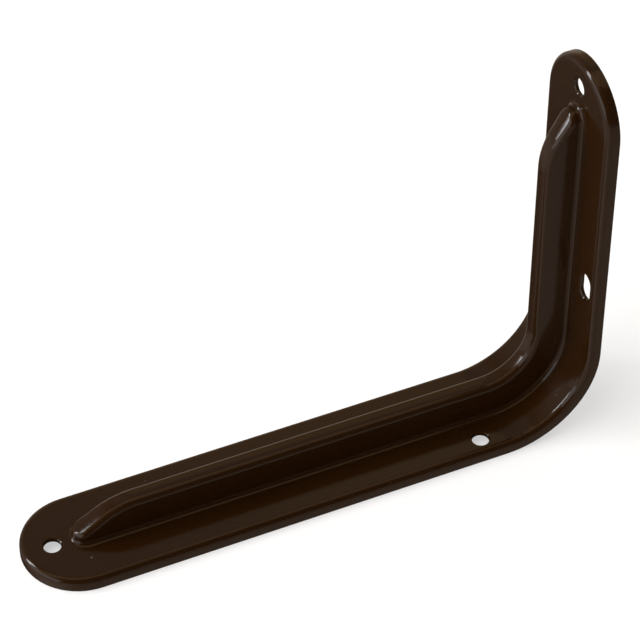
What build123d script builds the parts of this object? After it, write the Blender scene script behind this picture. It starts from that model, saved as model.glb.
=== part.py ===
from build123d import *
import os
from math import atan, cos, degrees, isclose, radians, sin, sqrt, tan

# Shelf bracket, pressed from one strip of sheet steel.
#
# The strip is bent to an L. Its rim is turned down all round, so that the flange
# stands off the shelf and the wall, and one hollow rib runs along the inside of
# the L and round the bend. Each end of the rib runs out into the flange as a nose,
# which is round in plan and slopes up to the crest.
#
# Frame: the shelf leg lies along X with its mounting face on Z = 0, and the wall
# leg stands along Z with its mounting face at +X. The strip is centred on Y = 0,
# and the holes beside the rib are on the -Y side.

os.makedirs("parts", exist_ok=True)

# Driving dimensions, mm
shelf_leg = 175.0  # wall face to the round end of the shelf leg
wall_leg = 124.6  # shelf face to the round end of the wall leg
strip_width = 35.0
sheet = 1.2
corner_radius = 29.2  # edge of the rim round the bend

rim_depth = 4.0  # mounting face to the face of the flange
fold_radius = 2.0  # outside of the fold from flange to rim

rib_height = 10.3  # flange to the middle of the crest
rib_crest_width = 6.1
rib_root_width = 8.0
crest_radius = 1.9  # outside edges of the crest
crest_crown = 0.4  # rise of the crest in the middle of its width
root_radius = 1.5  # where the rib leaves the flange

nose_setback = 15.1  # leg end to the tip of the nose
nose_angle = 31.0  # slope of the nose
nose_radius = 22.0  # from the crest into the slope
nose_flat = 0.1  # wall left between the crest radius and the root radius at the tip

screw_hole = 5.2
slot_length = 8.8
hole_edge = 0.3  # break of the upper edge of each punched hole
shelf_hole_setback = 9.0  # end hole from the end of the shelf leg
wall_hole_setback = 8.2  # end hole from the end of the wall leg
side_hole_distance = 35.5  # shelf leg, hole beside the rib from the wall face
slot_distance = 52.4  # wall leg, middle of the slot from the shelf face
fold_gap = 0.5  # flat left between a hole beside the rib and the fold

# Sizes and places that follow from them
half_width = strip_width / 2
wall_face = shelf_leg / 2
total_depth = rim_depth + rib_height
crown_radius = (rib_crest_width**2 / 4 + crest_crown**2) / 2 / crest_crown
draft = atan((rib_root_width - rib_crest_width) / 2 / rib_height)
slope = radians(nose_angle)
crest_share = crest_radius * tan((radians(90) - draft - slope) / 2)
root_share = root_radius * tan((radians(90) - draft) / 2)
tip_height = crest_share + nose_flat + root_share
root_relief = (2 - sqrt(2)) * (root_radius + sheet)  # keeps the sheet's thickness
side_hole_y = -(half_width - fold_radius - fold_gap - hole_edge - screw_hole / 2)

# Each leg has a frame of its own, with x from the bend to its round end and z from
# its mounting face to the inside of the L
shelf_frame = Plane((wall_face - corner_radius, 0, 0), x_dir=(-1, 0, 0), z_dir=(0, 0, 1))
wall_frame = Plane((wall_face, 0, corner_radius), x_dir=(0, 0, 1), z_dir=(-1, 0, 0))
bend_axis = Axis((wall_face - corner_radius, 0, corner_radius), (0, -1, 0))


def across(x, z, fall=0):
    """Plane square to a line that leaves (x, z) along a leg and falls by an angle."""
    return Plane((x, 0, z), x_dir=(0, 1, 0), z_dir=(cos(fall), 0, -sin(fall)))


def flat_edges(body, plane, inside):
    """Edges that lie in a plane, where inside holds for the plane's own coordinates."""
    found = []
    for edge in body.edges():
        points = [plane.to_local_coords(edge.position_at(share)) for share in (0, 0.5, 1)]
        if all(isclose(point.Z, 0, abs_tol=0.01) and inside(point) for point in points):
            found.append(edge)
    return found


def flange_section(inset):
    """Section of the strip without its rib, measured up from the mounting face.

    The skin is moved in by inset. Moved in, it bounds the hollow, whose folds are
    tight and which runs on past the mounting face, where it is open.
    """
    half = half_width - inset
    top = rim_depth - inset
    if inset:
        return Pos(0, top - total_depth) * Rectangle(2 * half, 2 * total_depth)
    face = Pos(0, top / 2) * Rectangle(2 * half, top)
    return fillet(face.vertices().sort_by(Axis.Y)[-2:], fold_radius)


def rib_half(depth, inset):
    """Half the width of the rib between its walls, at a depth below the crest."""
    return rib_crest_width / 2 + tan(draft) * (depth - crest_crown) - inset / cos(draft)


def crest_section(inset):
    """Section below the crest, wider than the rib, measured from the middle of the crest."""
    half = rib_half(total_depth, 0)
    side = sqrt((crown_radius - inset) ** 2 - half**2) - crown_radius
    crown = ThreePointArc((-half, side), (0, -inset), (half, side))
    sides = Polyline((half, side), (half, -total_depth), (-half, -total_depth), (-half, side))
    return make_face([crown, sides])


def full_section(inset):
    """Section of the strip with its rib, measured up from the mounting face."""
    top = rib_half(0, inset)
    foot = rib_half(total_depth, inset)
    walls = Polyline((-foot, -total_depth), (-top, 0), (top, 0), (foot, -total_depth), close=True)
    rib = make_face(walls) & crest_section(inset)
    if not inset:
        rib = fillet(rib.vertices().sort_by(Axis.Y)[-2:], crest_radius)
    face = flange_section(inset) + Pos(0, total_depth) * rib
    level = rim_depth - inset
    root = face.vertices().filter_by_position(Axis.Y, level - 0.01, level + 0.01)
    root = root.filter_by_position(Axis.X, -rib_root_width / 2, rib_root_width / 2)
    return chamfer(root, root_relief) if inset else fillet(root, root_radius)


def leg_flange(length, inset):
    """Flange and rim of a leg, from the bend to its round end."""
    section = flange_section(inset)
    run = length - corner_radius - half_width
    straight = extrude(across(0, 0) * section, amount=run)
    one_side = section & Pos(half_width, 0) * Rectangle(strip_width, 4 * total_depth)
    end = revolve(across(run, 0) * one_side, Axis((run, 0, 0), (0, 0, -1)), 180)
    return straight + end


def leg_crest(length, inset):
    """All that lies below the crest of a leg and the slope of its nose."""
    section = crest_section(inset)
    arc_run = nose_radius * sin(slope)
    arc_drop = nose_radius * (1 - cos(slope))
    slope_run = (rib_height - tip_height - arc_drop) / tan(slope)
    level_run = length - corner_radius - nose_setback - slope_run - arc_run
    level = extrude(across(0, total_depth) * section, amount=level_run)
    axis = Axis((level_run, 0, total_depth - nose_radius), (0, 1, 0))
    turn = revolve(across(level_run, total_depth) * section, axis, nose_angle)
    start = across(level_run + arc_run, total_depth - arc_drop, slope)
    fall = extrude(start * section, amount=(total_depth - arc_drop) / sin(slope))
    return level + turn + fall


def leg_rib(length, inset):
    """Rib of a leg, between drafted walls that meet in a half round at its tip."""
    middle = length - corner_radius - nose_setback - rib_half(rib_height, 0)
    half = rib_half(total_depth, inset)
    plan = Rectangle(2 * middle, 2 * half) + Pos(middle, 0) * Circle(half)
    walls = extrude(plan, amount=total_depth, taper=degrees(draft))
    crest = leg_crest(length, inset)
    rib = crest & walls
    if inset:
        return rib
    edges = new_edges(crest, walls, combined=rib)
    return fillet([edge for edge in edges if edge.bounding_box().min.Z > rim_depth], crest_radius)


def leg(length, inset):
    """A leg with its rib, from the bend to its round end."""
    body = leg_flange(length, inset) + leg_rib(length, inset)
    flange_face = Plane((0, 0, rim_depth - inset))
    root = flat_edges(body, flange_face, lambda point: abs(point.Y) < rib_root_width / 2)
    return chamfer(root, root_relief) if inset else fillet(root, root_radius)


def pressed(inset):
    """The whole strip, with its skin moved in by inset."""
    body = revolve(shelf_frame * across(0, 0) * full_section(inset), bend_axis, 90)
    body += shelf_frame * leg(shelf_leg, inset)
    body += wall_frame * leg(wall_leg, inset)
    return body


def punched(body, place, length=screw_hole):
    """Body with a round hole, or a slot of the length given, with a broken upper edge."""
    outline = SlotOverall(length, screw_hole) if length > screw_hole else Circle(screw_hole / 2)
    body -= extrude(place * outline, amount=rim_depth + sheet)
    reach = length / 2 + hole_edge
    mouth = flat_edges(body, place.offset(rim_depth), lambda point: point.length < reach)
    return chamfer(mouth, hole_edge)


def shelf_place(x, y):
    """Plane on the shelf leg's mounting face."""
    return Plane((x, y, 0), x_dir=(1, 0, 0), z_dir=(0, 0, 1))


def wall_place(z, y):
    """Plane on the wall leg's mounting face."""
    return Plane((wall_face, y, z), x_dir=(0, 0, 1), z_dir=(-1, 0, 0))


bracket = pressed(0) - pressed(sheet)
bracket = punched(bracket, shelf_place(wall_face - shelf_leg + shelf_hole_setback, 0))
bracket = punched(bracket, shelf_place(wall_face - side_hole_distance, side_hole_y))
bracket = punched(bracket, wall_place(wall_leg - wall_hole_setback, 0))
bracket = punched(bracket, wall_place(slot_distance, side_hole_y), slot_length)
export_step(bracket, "parts/bracket.step")
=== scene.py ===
from math import cos, radians, sin

import bpy
from mathutils import Euler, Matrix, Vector


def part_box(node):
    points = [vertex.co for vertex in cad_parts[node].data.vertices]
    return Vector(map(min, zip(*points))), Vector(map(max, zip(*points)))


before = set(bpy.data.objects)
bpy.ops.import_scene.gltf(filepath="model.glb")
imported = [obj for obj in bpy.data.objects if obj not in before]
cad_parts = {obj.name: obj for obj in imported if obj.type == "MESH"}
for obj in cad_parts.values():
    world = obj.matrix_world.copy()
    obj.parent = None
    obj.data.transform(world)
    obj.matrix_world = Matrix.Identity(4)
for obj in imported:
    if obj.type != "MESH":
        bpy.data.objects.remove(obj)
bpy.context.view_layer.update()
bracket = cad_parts["bracket"]
low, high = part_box("bracket")
centre = (low + high) / 2
print("frame loaded")


# Paint: smooth baked enamel, very dark warm brown, with a few dust nibs under it
paint = {
    "colour": (0.0150, 0.0054, 0.0009),
    "colourVariation": 0.10,  # as a share of the colour
    "roughness": 0.12,
    "roughnessVariation": 0.03,
    "ior": 1.5,
    # size in metres from crest to crest, and detail of the noise
    "cloud": (0.022, 3),
    "wave": (0.014, 0),  # the sheet itself is never quite flat after pressing
    "peel": (0.0016, 1),
    "waveHeight": 0.000035,
    "peelHeight": 0.000010,
    "nibSpacing": 0.005,
    "nibRadius": 0.0002,
    "nibHeight": 0.00004,
    "nibColour": (0.085, 0.075, 0.062),
    "largeNib": (0.0175, 0.0085, 0.004),  # in from the free end and the near side, and up
    "largeNibRadius": 0.00055,
}


def makePaint():
    material = bpy.data.materials.new("paint")
    material.use_nodes = True
    nodes, links = material.node_tree.nodes, material.node_tree.links
    shader = nodes["Principled BSDF"]
    shader.inputs["IOR"].default_value = paint["ior"]
    place = nodes.new("ShaderNodeTexCoord").outputs["Object"]

    def noise(size, detail):
        texture = nodes.new("ShaderNodeTexNoise")
        texture.inputs["Scale"].default_value = 1 / size
        texture.inputs["Detail"].default_value = detail
        links.new(place, texture.inputs["Vector"])
        return texture.outputs["Fac"]

    def blend(factor, first, second):
        mix = nodes.new("ShaderNodeMix")
        mix.data_type = "RGBA"
        links.new(factor, mix.inputs["Factor"])
        for end, colour in (("A", first), ("B", second)):
            if isinstance(colour, tuple):
                mix.inputs[end].default_value = (*colour, 1)
            else:
                links.new(colour, mix.inputs[end])
        return mix.outputs["Result"]

    def dome(distance, radius):  # 1 in the middle, 0 from the radius outwards
        rise = nodes.new("ShaderNodeMapRange")
        rise.interpolation_type = "SMOOTHSTEP"
        rise.inputs["From Min"].default_value = radius
        rise.inputs["From Max"].default_value = 0
        links.new(distance, rise.inputs["Value"])
        return rise.outputs["Result"]

    def raised(height, distance, under=None):
        bump = nodes.new("ShaderNodeBump")
        bump.inputs["Distance"].default_value = distance
        links.new(height, bump.inputs["Height"])
        if under:
            links.new(under, bump.inputs["Normal"])
        return bump.outputs["Normal"]

    cloud = noise(*paint["cloud"])
    speckle = nodes.new("ShaderNodeTexVoronoi")
    speckle.inputs["Scale"].default_value = 1 / paint["nibSpacing"]
    links.new(place, speckle.inputs["Vector"])
    small = dome(speckle.outputs["Distance"], paint["nibRadius"] / paint["nibSpacing"])
    fromLarge = nodes.new("ShaderNodeVectorMath")
    fromLarge.operation = "DISTANCE"
    largeNib = bracket.matrix_world.inverted() @ (low + Vector(paint["largeNib"]))
    fromLarge.inputs[1].default_value = largeNib
    links.new(place, fromLarge.inputs[0])
    large = dome(fromLarge.outputs["Value"], paint["largeNibRadius"])
    larger = nodes.new("ShaderNodeMath")
    larger.operation = "MAXIMUM"
    links.new(small, larger.inputs[0])
    links.new(large, larger.inputs[1])
    nibs = larger.outputs["Value"]

    dark = tuple(c * (1 - paint["colourVariation"]) for c in paint["colour"])
    light = tuple(c * (1 + paint["colourVariation"]) for c in paint["colour"])
    tone = blend(nibs, blend(cloud, dark, light), paint["nibColour"])
    links.new(tone, shader.inputs["Base Color"])

    gloss = nodes.new("ShaderNodeMapRange")
    gloss.inputs["To Min"].default_value = paint["roughness"] - paint["roughnessVariation"]
    gloss.inputs["To Max"].default_value = paint["roughness"] + paint["roughnessVariation"]
    links.new(cloud, gloss.inputs["Value"])
    links.new(gloss.outputs["Result"], shader.inputs["Roughness"])

    waves = raised(noise(*paint["wave"]), paint["waveHeight"])
    peel = raised(noise(*paint["peel"]), paint["peelHeight"], waves)
    links.new(raised(nibs, paint["nibHeight"], peel), shader.inputs["Normal"])
    return material


for slot in bracket.material_slots:
    slot.material = makePaint()
print("paint done")


# Sheets under the bracket: a pale paper floor, and a dark sheet of painted shade
paperAndShade = {"roughness": 0.9}


def makeSheet(name, corners, faces, height, colour, glow=0):
    mesh = bpy.data.meshes.new(name)
    mesh.from_pydata(corners, [], faces)
    mesh.shade_smooth()
    sheet = bpy.data.objects.new(name, mesh)
    sheet.location = (0, centre.y, height)
    bpy.context.scene.collection.objects.link(sheet)
    material = bpy.data.materials.new(name + "Paper")
    material.use_nodes = True
    shader = material.node_tree.nodes["Principled BSDF"]
    shader.inputs["Base Color"].default_value = (*colour, 1)
    shader.inputs["Roughness"].default_value = paperAndShade["roughness"]
    shader.inputs["Emission Color"].default_value = (1, 1, 1, 1)
    shader.inputs["Emission Strength"].default_value = glow
    mesh.materials.append(material)
    sheet.visible_shadow = False
    return sheet


# Floor: plain and pale, lit from below, sweeping up far away. The paint doesn't reflect it
floor = {
    "flatRadius": 4.0,
    "sweepRadius": 3.0,
    "sweepAngle": 80,  # degrees
    "sweepSteps": 12,
    "sides": 96,
    "colour": (0.45, 0.45, 0.45),
    "glow": 0.5,
}


def makeFloor():
    rings = []
    for step in range(floor["sweepSteps"] + 1):
        turn = radians(floor["sweepAngle"]) * step / floor["sweepSteps"]
        reach = floor["flatRadius"] + floor["sweepRadius"] * sin(turn)
        rings.append((reach, floor["sweepRadius"] * (1 - cos(turn))))
    sides = floor["sides"]
    corners = [(0, 0, 0)]
    for reach, height in rings:
        for side in range(sides):
            turn = radians(360) * side / sides
            corners.append((reach * cos(turn), reach * sin(turn), height))
    faces = [(0, 1 + side, 1 + (side + 1) % sides) for side in range(sides)]
    for ring in range(len(rings) - 1):
        inner, outer = 1 + ring * sides, 1 + (ring + 1) * sides
        for side in range(sides):
            after = (side + 1) % sides
            faces.append((inner + side, outer + side, outer + after, inner + after))
    sheet = makeSheet("floor", corners, faces, low.z, floor["colour"], floor["glow"])
    sheet.visible_glossy = False


makeFloor()
print("floor done")


# Shade: a dark sheet of painted shade under the bracket, seen only in the paint's reflections,
# as through a screw hole
shade = {"inset": 0.001, "below": 0.0002, "steps": 24, "colour": (0.02, 0.017, 0.014)}


def makeShade():
    radius = (high.y - low.y) / 2 - shade["inset"]
    middle = low.x + (high.y - low.y) / 2  # of the round end of the shelf leg
    end = high.x - shade["inset"]
    corners = [(end, radius, 0), (end, -radius, 0)]
    for step in range(shade["steps"] + 1):
        turn = radians(180) * step / shade["steps"]
        corners.append((middle - radius * sin(turn), -radius * cos(turn), 0))
    outline = [tuple(range(len(corners)))]
    sheet = makeSheet("shade", corners, outline, low.z - shade["below"], shade["colour"])
    # painted shade: the dark sheet shows only in reflections, never to the camera or in diffuse
    # light
    sheet.visible_camera = False
    sheet.visible_diffuse = False


makeShade()
print("shade done")


# Room: a dim studio, paler where its lamps, walls and tables are
room = {
    "base": (0.035, 0.032, 0.030),
    "glows": {
        # name: (added colour, direction, its cosine from and to, height from and to)
        "ceiling": ((0.11, 0.11, 0.10), (0.31, 0.66, 0.68), (0.80, 0.92), (0.60, 0.75)),
        "lampRight": ((0.42, 0.29, 0.17), (0.31, 0.03, 0.95), (0.93, 0.975), (0, 0.5)),
        "lampMiddle": ((0.45, 0.33, 0.21), (-0.22, 0.06, 0.97), (0.93, 0.975), (0, 0.5)),
        "lampLeft": ((0.45, 0.33, 0.21), (-0.66, 0.09, 0.74), (0.93, 0.975), (0, 0.3)),
        "rearWall": ((0.21, 0.14, 0.065), (0.64, 0.77, 0), (0.635, 0.685), (-0.1, 0.1)),
        "rearTable": ((0.32, 0.28, 0.24), (0.33, 0.91, -0.20), (0.75, 0.93), (0.2, 0.0)),
        "farTable": ((0.09, 0.075, 0.065), (-0.40, 0.91, 0), (0.4, 0.7), (-0.68, -0.52)),
        "leftWall": ((0.10, 0.09, 0.08), (-0.64, 0.75, 0.15), (0.75, 0.95), (-0.5, -0.3)),
        "frontTable": ((0.255, 0.215, 0.175), (-0.40, -0.90, 0), (-0.1, 0.3), (0.12, -0.08)),
        "leftTable": ((0.20, 0.18, 0.17), (-1, 0, 0), (0.35, 0.70), (0.1, -0.1)),
    },
}


def makeRoom():
    world = bpy.data.worlds.new("studio")
    world.use_nodes = True
    nodes, links = world.node_tree.nodes, world.node_tree.links
    base = nodes["Background"]
    base.inputs["Color"].default_value = (*room["base"], 1)
    toward = nodes.new("ShaderNodeTexCoord").outputs["Generated"]
    upward = nodes.new("ShaderNodeSeparateXYZ")
    links.new(toward, upward.inputs["Vector"])

    def ramp(value, limits):
        step = nodes.new("ShaderNodeMapRange")
        step.interpolation_type = "SMOOTHSTEP"
        step.inputs["From Min"].default_value, step.inputs["From Max"].default_value = limits
        links.new(value, step.inputs["Value"])
        return step.outputs["Result"]

    total = base.outputs["Background"]
    for name, (colour, direction, cosines, heights) in room["glows"].items():
        along = nodes.new("ShaderNodeVectorMath")
        along.operation = "DOT_PRODUCT"
        along.inputs[1].default_value = Vector(direction).normalized()
        links.new(toward, along.inputs[0])
        both = nodes.new("ShaderNodeMath")
        both.operation = "MULTIPLY"
        links.new(ramp(along.outputs["Value"], cosines), both.inputs[0])
        links.new(ramp(upward.outputs["Z"], heights), both.inputs[1])
        glow = nodes.new("ShaderNodeBackground")
        glow.label = name
        glow.inputs["Color"].default_value = (*colour, 1)
        links.new(both.outputs["Value"], glow.inputs["Strength"])
        added = nodes.new("ShaderNodeAddShader")
        links.new(total, added.inputs[0])
        links.new(glow.outputs["Background"], added.inputs[1])
        total = added.outputs["Shader"]
    links.new(total, nodes["World Output"].inputs["Surface"])
    bpy.context.scene.world = world


makeRoom()
print("room done")


# Lamps: each is aimed at the middle of the bracket. The paint doesn't reflect the suns
lamps = {
    "suns": {
        # name: (azimuth, elevation, strength, spread), angles in degrees
        "overhead": (255, 50, 2.85, 80),
        "front": (-25, 43, 0.25, 12),
        "rear": (135, 35, 0.9, 70),
    },
    "sunDistance": 2,
    "softboxes": {
        # name: (azimuth, elevation, distance, width, height, watts)
        "window": (273, 15, 1.6, 1.75, 0.90, 5.0),
        "strip": (240, 24, 1.6, 0.24, 0.90, 6.0),
    },
}


def placeLamp(name, lamp, azimuth, elevation, distance):
    holder = bpy.data.objects.new(name, lamp)
    turn = Euler((radians(90 - elevation), 0, radians(azimuth)))
    holder.rotation_euler = turn
    holder.location = centre + turn.to_matrix() @ Vector((0, 0, distance))
    bpy.context.scene.collection.objects.link(holder)
    return holder


def makeLamps():
    for name, (azimuth, elevation, strength, spread) in lamps["suns"].items():
        sun = bpy.data.lights.new(name, "SUN")
        sun.energy = strength
        sun.angle = radians(spread)
        holder = placeLamp(name, sun, azimuth, elevation, lamps["sunDistance"])
        holder.visible_glossy = False
    for name, (azimuth, elevation, distance, width, height, watts) in lamps["softboxes"].items():
        box = bpy.data.lights.new(name, "AREA")
        box.shape = "RECTANGLE"
        box.size, box.size_y = width, height
        box.energy = watts
        placeLamp(name, box, azimuth, elevation, distance)


makeLamps()
print("lamps done")


# Camera: where it stands is worked out from what it looks at
camera = {
    "lens": 161.0,
    "sensor": 36,
    "distance": 0.7992,
    "turn": (47.59, -0.15, -24.65),  # degrees
    "aimFromCentre": (0.0040, -0.0025, -0.0006),
}


def makeCamera():
    view = bpy.data.cameras.new("camera")
    view.lens = camera["lens"]
    view.sensor_width = camera["sensor"]
    stand = bpy.data.objects.new("camera", view)
    turn = Euler([radians(angle) for angle in camera["turn"]])
    stand.rotation_euler = turn
    aim = centre + Vector(camera["aimFromCentre"])
    stand.location = aim + turn.to_matrix() @ Vector((0, 0, camera["distance"]))
    bpy.context.scene.collection.objects.link(stand)
    bpy.context.scene.camera = stand
    bpy.context.scene.view_settings.view_transform = "Standard"


makeCamera()
print("camera done")
